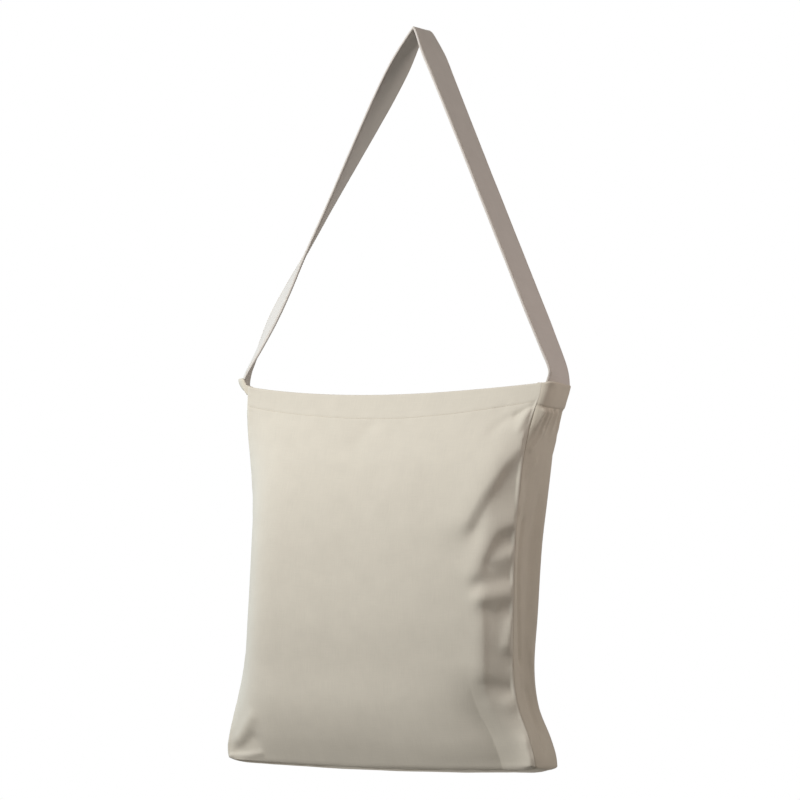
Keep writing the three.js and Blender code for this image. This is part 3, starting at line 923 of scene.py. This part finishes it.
# A tree with named inputs: what it is given, and the inputs' identifiers
def newTree(name, inputs):
    tree = bpy.data.node_groups.new(name, "GeometryNodeTree")
    tree.interface.new_socket("Geometry", in_out="INPUT", socket_type="NodeSocketGeometry")
    keys = {}
    for label, kind in inputs.items():
        made = tree.interface.new_socket(label, in_out="INPUT", socket_type="NodeSocket" + kind)
        keys[label] = made.identifier
    tree.interface.new_socket("Geometry", in_out="OUTPUT", socket_type="NodeSocketGeometry")
    return Socket(tree).add("NodeGroupInput", out="Geometry"), keys


def named(given, key, kind="FLOAT"):
    return given.add("GeometryNodeInputNamedAttribute", {"data_type": kind}, {"Name": key})


def store(geometry, key, value, kind="FLOAT", domain="POINT"):
    stored = {"Geometry": geometry, "Name": key, "Value": value}
    return geometry.add("GeometryNodeStoreNamedAttribute", {"data_type": kind, "domain": domain}, stored)


# Ends a tree in plain smooth meshes with the given finish
def endTree(given, geometry):
    geometry = given.add("GeometryNodeSetShadeSmooth", values={"Geometry": geometry})
    geometry = given.add("GeometryNodeRealizeInstances", values={"Geometry": geometry})
    dressed = {"Geometry": geometry, "Material": given.output("Finish")}
    geometry = given.add("GeometryNodeSetMaterial", values=dressed)
    given.add("NodeGroupOutput", values={"Geometry": geometry})


# Runs a tree on a path and keeps the result as a plain mesh
def growOn(path, name, given, keys, values):
    modifier = path.modifiers.new("grow", "NODES")
    modifier.node_group = given.tree
    for label, value in values.items():
        modifier[keys[label]] = value
    shown = path.evaluated_get(bpy.context.evaluated_depsgraph_get())
    mesh = bpy.data.meshes.new_from_object(shown)
    path.modifiers.remove(modifier)
    bpy.data.objects.remove(path)
    mesh.name = name
    return addObject(name, mesh)


# Strap: a flat folded tube of cloth swept along its path
strap = {
    "width": 52,
    "thickness": 2.8,
    "edgeRound": 1.2,
    "edgeSteps": 3,
    "aroundSteps": 72,
    "samples": 360,
    "crestCrowding": 1.6,  # power that crowds the samples at the crest
    "endCrowding": 0.4,  # share of them crowded at both ends of a run
    "tuck": {-1: -5, 1: 9},  # below the seams' upper ends, on the left and right
    "crest": 1.0,  # middle of the cloth above the hang point
    "crestRadius": 2,
    "crestSkew": 3.5,  # the crest's back edge lies this far left, and its front edge right
    "crestLength": 24,  # drop over which that ends
    "wallStep": 2.3,  # from the gusset's middle to the strap's
    "bendHeight": {-1: 4, 1: 13},  # above the rim, where its left and right runs turn upright
    "bendLength": 6,
    "levelStart": 0.93,  # share of the drop to the rim where its edges turn level, as the gusset's are
    "tuckCup": 5.5,  # the right run's front edge turns in towards the rim
    "cupRange": (-16, 3),
    "leftCurl": 4.5,  # both edges of the left run curl in towards the rim
    "curlRange": (0.78, 0.95),
    "ripple": 0.5,
    "rippleScale": 38,
    # turn about its own length on the left and right runs, from crest to rim and below it
    "twist": {
        "along": [0, 0.06, 0.12, 0.2, 0.36, 0.5, 0.62, 0.72, 0.8, 0.87, 0.92, 0.96, 1, 1.03],
        "left": [7, 5, 3, 5, 15, 24, 30, 38, 40.5, 35.5, 29.5, 26, 21, 8],
        "right": [7, 8, 6, 5, 4, 4, 4, 4, 4, 3, 2, 0, 0, -1],
    },
}


# The strap's middle line, its width and face directions and how far its edges slide, from the left
# end to the right one
def strapLine(values):
    crest = values["crest"]
    rimDrop = crest - bag["rim"]
    depthAxis = np.array((0, 1, 0))

    # the gusset's place at a height, found in a few rounds because the rim's rise changes with it
    def wallAt(height, side):
        down = 0 * height
        for _ in range(4):
            rim = bag["rim"] + riseAt(down, side)
            down = np.clip((height - rim) / (bag["bottom"] - bag["rim"]), 0, 1)
        if side < 0:
            seam = sectionAt("left", down) + sectionAt("pull", down) / 2
        else:
            seam = sectionAt("right", down)
        return seam + bulgeAt(down, side) + side * bag["shift"]

    # the strap's place just inside it, square to the wall's lean
    def strapAt(height, side):
        lean = (wallAt(height + 1, side) - wallAt(height - 1, side)) / 2
        return wallAt(height, side) - values["wallStep"] * np.hypot(1, lean)

    # a rounded crest, a straight run and a bend into the gusset
    def centreAt(drop, side):
        rim = bag["rim"] + riseAt(np.zeros(1), side)
        runDrop = crest - rim[0] - values["bendHeight"][side]
        reach = float(strapAt(rim, side)[0])
        slope = math.sqrt(reach**2 - 2 * runDrop * values["crestRadius"]) / runDrop
        focus = values["crestRadius"] / slope**2
        straight = slope * np.sqrt(np.maximum((drop + focus) ** 2 - focus**2, 0))
        wall = strapAt(crest - drop, side)
        blend = values["bendLength"]
        share = np.clip(0.5 + 0.5 * (wall - straight) / blend, 0, 1)
        nearer = wall + (straight - wall) * share - blend * share * (1 - share)
        return np.stack([side * nearer, 0 * drop, crest - drop], axis=-1)

    lines = []
    for side, column in ((-1, "left"), (1, "right")):
        run = np.linspace(1, 0, values["samples"] // 2)
        ends = values["endCrowding"]
        run = run ** values["crestCrowding"] * (1 - ends) + smooth(0, 1, run) * ends
        drop = (rimDrop + values["tuck"][side]) * run
        toRim = drop / rimDrop
        centre = centreAt(drop, side)
        along = unit(centreAt(drop + 0.5, side) - centreAt(np.maximum(drop - 0.5, 0), side))
        outward = unit(np.cross(depthAxis, along) * -side)
        outward[drop < 1e-6] = (0, 0, 1)
        level = smooth(values["levelStart"], 1, toRim)[:, None]
        outward = unit(outward * (1 - level) + level * np.array((side, 0, 0)))
        twist = np.radians(curveThrough(values["twist"]["along"], values["twist"][column], toRim))
        wide = np.cos(twist)[:, None] * depthAxis + np.sin(twist)[:, None] * outward
        face = unit(np.cross(wide, along) * -side)
        face = np.where((face * outward).sum(1, keepdims=True) < 0, -face, face)
        skew = values["crestSkew"] * bell(drop, values["crestLength"])
        cup = values["tuckCup"] * smooth(*values["cupRange"], drop - rimDrop) * (side > 0)
        curl = values["leftCurl"] * smooth(*values["curlRange"], toRim) * (side < 0)
        rows = [centre, wide, face, skew, cup, curl]
        lines.append(rows if side < 0 else [row[-2::-1] for row in rows])
    return [np.concatenate(parts) for parts in zip(*lines)]


def strapTree(values):
    sizes = {"Width": "Float", "Thickness": "Float", "Edge Round": "Float", "Ripple": "Float"}
    given, keys = newTree("strap sweep", {**sizes, "Finish": "Material"})
    add = given.add
    line = add("GeometryNodeMeshToCurve", values={0: given})
    face = named(given, "faceOut", "FLOAT_VECTOR")
    line = add("GeometryNodeSetCurveNormal", {"mode": "FREE"}, {"Curve": line, "Normal": face})
    line = store(line, "alongStrap", add("GeometryNodeSplineParameter", out="Length"))
    outline = add(
        "GeometryNodeCurvePrimitiveQuadrilateral",
        values={"Width": given.output("Thickness"), "Height": given.output("Width")},
    )
    fillet = {"Curve": outline, "Radius": given.output("Edge Round"), "Count": values["edgeSteps"]}
    outline = add("GeometryNodeFilletCurve", {"mode": "POLY"}, fillet)
    steps = {"Curve": outline, "Count": values["aroundSteps"]}
    outline = add("GeometryNodeResampleCurve", {"mode": "COUNT"}, steps)
    outline = store(outline, "aroundStrap", add("GeometryNodeSplineParameter", out="Length"))
    sweep = {"Curve": line, "Profile Curve": outline, "Fill Caps": True}
    swept = add("GeometryNodeCurveToMesh", values=sweep)

    # slow waves of the two layers
    noise = add("ShaderNodeTexNoise", values={"Scale": values["rippleScale"], "Detail": 1.0})
    wave = {0: add("GeometryNodeInputNormal"), "Scale": (noise - 0.5) * given.output("Ripple")}
    offset = add("ShaderNodeVectorMath", {"operation": "SCALE"}, wave)
    swept = add("GeometryNodeSetPosition", values={"Geometry": swept, "Offset": offset})

    # the crest's edges slide along it, the back one to the left, and the edges near the rim turn in
    place = add("GeometryNodeInputPosition")
    across = add("ShaderNodeSeparateXYZ", values={0: place}, out="Y") / (given.output("Width") * 0.5)
    frontShare = given.math("MINIMUM", across, 0.0)
    slide = across * named(given, "crestSkew") + frontShare * frontShare * named(given, "tuckCup")
    slide = slide - across * across * named(given, "leftCurl")
    offset = add("ShaderNodeCombineXYZ", values={0: slide * -1.0})
    swept = add("GeometryNodeSetPosition", values={"Geometry": swept, "Offset": offset})

    cut = {0: named(given, "aroundStrap"), 1: named(given, "alongStrap")}
    swept = store(swept, "flat", add("ShaderNodeCombineXYZ", values=cut), "FLOAT2", "CORNER")
    endTree(given, swept)
    return given, keys


strapCentre, strapWide, strapFace, strapSkew, strapCup, strapCurl = strapLine(strap)
strapSlides = {"crestSkew": strapSkew, "tuckCup": strapCup, "leftCurl": strapCurl}
strapPiece = growOn(
    pathObject("strap_path", strapCentre, strapFace, strapSlides),
    "strap_cloth",
    *strapTree(strap),
    {
        "Width": strap["width"] * mm,
        "Thickness": strap["thickness"] * mm,
        "Edge Round": strap["edgeRound"] * mm,
        "Ripple": strap["ripple"] * mm,
        "Finish": strapCloth,
    },
)
strapLength = float(stepLengths(strapCentre).sum())
print("strap made, %.0f mm long" % strapLength)

# Stitches
stitch = {
    "pitch": 3.0,
    "length": 2.5,
    "radius": 0.28,
    "uneven": (0.85, 1.1),  # smallest and largest
    "segments": 6,
    "rings": 5,
    "seed": 7,
    "standOff": 0.1,  # above the cloth
    "strapInset": 3.0,
    "strapEnd": 8,  # samples left bare at the strap's ends
    "panelEnd": 0.012,  # shares left bare at the seams
    "gussetEnd": 0.03,
    "panelSteps": 260,
    "gussetSteps": 60,
}


def stitchTree(values):
    sizes = {"Pitch": "Float", "Stitch Length": "Float", "Thread Radius": "Float"}
    given, keys = newTree("stitch row", {**sizes, "Seed": "Int", "Finish": "Material"})
    add = given.add
    line = add("GeometryNodeMeshToCurve", values={0: given})
    steps = {"Curve": line, "Length": given.output("Pitch")}
    line = add("GeometryNodeResampleCurve", {"mode": "LENGTH"}, steps)
    tangent = add("GeometryNodeInputTangent")
    turned = add("FunctionNodeAlignRotationToVector", {"axis": "X"}, {"Vector": tangent})
    facing = {"Rotation": turned, "Vector": named(given, "faceOut", "FLOAT_VECTOR")}
    turned = add("FunctionNodeAlignRotationToVector", {"axis": "Z", "pivot_axis": "X"}, facing)
    ball = {"Segments": values["segments"], "Rings": values["rings"], "Radius": 1.0}
    thread = add("GeometryNodeMeshUVSphere", values=ball)
    radius = given.output("Thread Radius")
    size = {0: given.output("Stitch Length") * 0.5, 1: radius, 2: radius}
    size = add("ShaderNodeCombineXYZ", values=size)
    thread = add("GeometryNodeTransform", values={"Geometry": thread, "Scale": size})
    smallest, largest = values["uneven"]
    chance = {2: smallest, 3: largest, "Seed": given.output("Seed")}
    uneven = add("FunctionNodeRandomValue", {"data_type": "FLOAT"}, chance, out=1)
    placed = {"Points": line, "Instance": thread, "Rotation": turned, "Scale": uneven}
    endTree(given, add("GeometryNodeInstanceOnPoints", values=placed))
    return given, keys


stitchNodes = stitchTree(stitch)


def sewRow(name, points, outward):
    return growOn(
        pathObject(name + "_path", points, outward),
        name,
        *stitchNodes,
        {
            "Pitch": stitch["pitch"] * mm,
            "Stitch Length": stitch["length"] * mm,
            "Thread Radius": stitch["radius"] * mm,
            "Seed": stitch["seed"],
            "Finish": threadFinish,
        },
    )


# A row on a made panel or gusset, at places along the two sides of its grid
def sewOn(name, label, u, v):
    columns, rows, points, normals = shownGrids[name]
    i = np.clip(np.searchsorted(columns, u) - 1, 0, len(columns) - 2)
    j = np.clip(np.searchsorted(rows, v) - 1, 0, len(rows) - 2)
    a = ((u - columns[i]) / (columns[i + 1] - columns[i]))[:, None]
    b = ((v - rows[j]) / (rows[j + 1] - rows[j]))[:, None]

    def between(grid):
        near = grid[i, j] * (1 - a) + grid[i + 1, j] * a
        far = grid[i, j + 1] * (1 - a) + grid[i + 1, j + 1] * a
        return near * (1 - b) + far * b

    outward = unit(between(normals))
    return sewRow(label, between(points) + outward * (bag["cloth"] / 2 + stitch["standOff"]), outward)


sewnRows = []
across = np.linspace(stitch["panelEnd"], 1 - stitch["panelEnd"], stitch["panelSteps"])
for name, label in (("front_cloth", "front_hem_stitches"), ("back_cloth", "back_hem_stitches")):
    row = sewOn(name, label, across, hemLineAt(across) / bag["height"])
    sewnRows.append((row, panelCloth))
across = np.linspace(stitch["gussetEnd"], 1 - stitch["gussetEnd"], stitch["gussetSteps"])
for level, label in ((gusset["hemBelow"], "left"), (gussetLength - gusset["hemBelow"], "right")):
    row = sewOn("gusset_cloth", "gusset_%s_hem_stitches" % label, np.full(len(across), level), across)
    sewnRows.append((row, gussetCloth))
inset = strap["width"] / 2 - stitch["strapInset"]
raised = strap["thickness"] / 2 + stitch["standOff"]
shown = slice(stitch["strapEnd"], -stitch["strapEnd"])
for edge, label in ((-1, "front"), (1, "back")):
    for face, side in ((1, "outer"), (-1, "inner")):
        points = strapCentre + strapWide * edge * inset + strapFace * face * raised
        share = points[:, 1] / (strap["width"] / 2)
        points[:, 0] -= strapSkew * share + strapCup * np.minimum(share, 0) ** 2 - strapCurl * share**2
        row = sewRow("strap_%s_%s_stitches" % (label, side), points[shown], strapFace[shown] * face)
        sewnRows.append((row, strapCloth))
print("stitches made")

# Riding and replacing: every piece and stitch row rides the root, and each piece hides its solid
for piece, node, slot in (
    (frontPiece, "front_panel", "panel_cloth"),
    (backPiece, "back_panel", "panel_cloth"),
    (gussetObject, "gusset", "gusset_cloth"),
    (hemObject, "top_hem", "panel_cloth"),
    (strapPiece, "shoulder_strap", "strap_cloth"),
):
    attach(piece, "root")
    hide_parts(node)
for row, finish in sewnRows:
    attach(row, "root")

# Camera at the photograph's viewing angle, for a square picture. It and the studio are in metres.
view = {
    "yaw": 27.86,
    "pitch": 5.07,  # looking up
    "roll": 2.08,
    "distance": 3.27,
    "target": (-0.0095, 0, -0.4253),
    "lens": 129.69,
    "sensor": 36,
}


def makeCamera(values):
    yaw = math.radians(values["yaw"])
    pitch = math.radians(values["pitch"])
    forward = Vector((-math.sin(yaw) * math.cos(pitch), math.cos(yaw) * math.cos(pitch), math.sin(pitch)))
    turned = Matrix.Rotation(-math.radians(values["roll"]), 3, forward)
    right = turned @ Vector((math.cos(yaw), math.sin(yaw), 0))
    up = right.cross(forward)
    camera = addObject("camera", bpy.data.cameras.new("camera"))
    camera.data.sensor_width = values["sensor"]
    camera.data.lens = values["lens"]
    pose = Matrix((right, up, -forward)).transposed().to_4x4()
    pose.translation = Vector(values["target"]) - forward * values["distance"]
    camera.matrix_world = pose
    bpy.context.scene.camera = camera


makeCamera(view)

# Floor, sky and lamps
studio = {
    "floorHeight": -1.02,
    "floorRadius": 1.6,
    "floorSides": 96,
    "floorTone": (0.9, 0.9, 0.89),
    "floorRoughness": 0.9,
    "sky": 0.17,
    "skyTone": (1.0, 0.93, 0.85),
    "lamps": [
        # name, place, size, power and tone
        ("key", (-0.58, -1.66, 0.46), 0.9, 35.8, (1.0, 0.995, 0.985)),
        ("left", (-1.5, 0.2, -0.2), 0.8, 11, (0.68, 0.86, 1.0)),
        ("right", (1.45, 0.55, 0.0), 0.8, 6.1, (1.0, 0.93, 0.87)),
        ("bounce", (0.72, -0.06, -0.22), 0.2, 0.28, (1.0, 0.7, 0.74)),
        ("back", (0.3, 1.8, -0.7), 1.2, 2.5, (1.0, 1.0, 1.0)),
        ("foot", (0.0, 0.13, -1.0), 0.3, 0.45, (1.0, 1.0, 1.0)),
    ],
    "aim": (0, 0, -0.5),
}


def makeStudio(values):
    turn = np.linspace(0, 2 * np.pi, values["floorSides"], endpoint=False)
    disc = np.stack([np.cos(turn), np.sin(turn), 0 * turn], axis=1) * values["floorRadius"]
    disc[:, 2] = values["floorHeight"]
    floorMesh = bpy.data.meshes.new("floor")
    floorMesh.from_pydata(disc, [], [list(range(len(disc)))])
    paint = bpy.data.materials.new("floor_paint")
    finish = {"Base Color": toned(values["floorTone"]), "Roughness": values["floorRoughness"]}
    endMaterial(emptyTree(paint), finish)
    floorMesh.materials.append(paint)
    floor = addObject("floor", floorMesh)
    floor.visible_diffuse = False

    for name, place, size, power, tone in values["lamps"]:
        lamp = bpy.data.lights.new(name, "AREA")
        lamp.size = size
        lamp.energy = power
        lamp.color = tone
        holder = addObject(name, lamp)
        holder.location = place
        holder.visible_camera = False
        aim = Vector(values["aim"]) - holder.location
        holder.rotation_euler = aim.to_track_quat("-Z", "Y").to_euler()

    # the sky is white to look at and dimmer as light
    world = bpy.data.worlds.new("studio")
    bpy.context.scene.world = world
    start = emptyTree(world)
    seen = start.add("ShaderNodeLightPath", out="Is Camera Ray")
    strength = values["sky"] + seen * (1 - values["sky"])
    tone = start.mix(seen, toned(values["skyTone"]), (1, 1, 1, 1))
    glow = start.add("ShaderNodeBackground", values={"Color": tone, "Strength": strength})
    start.add("ShaderNodeOutputWorld", values={"Surface": glow})
    bpy.context.scene.view_settings.view_transform = "Standard"


makeStudio(studio)
print("studio made")
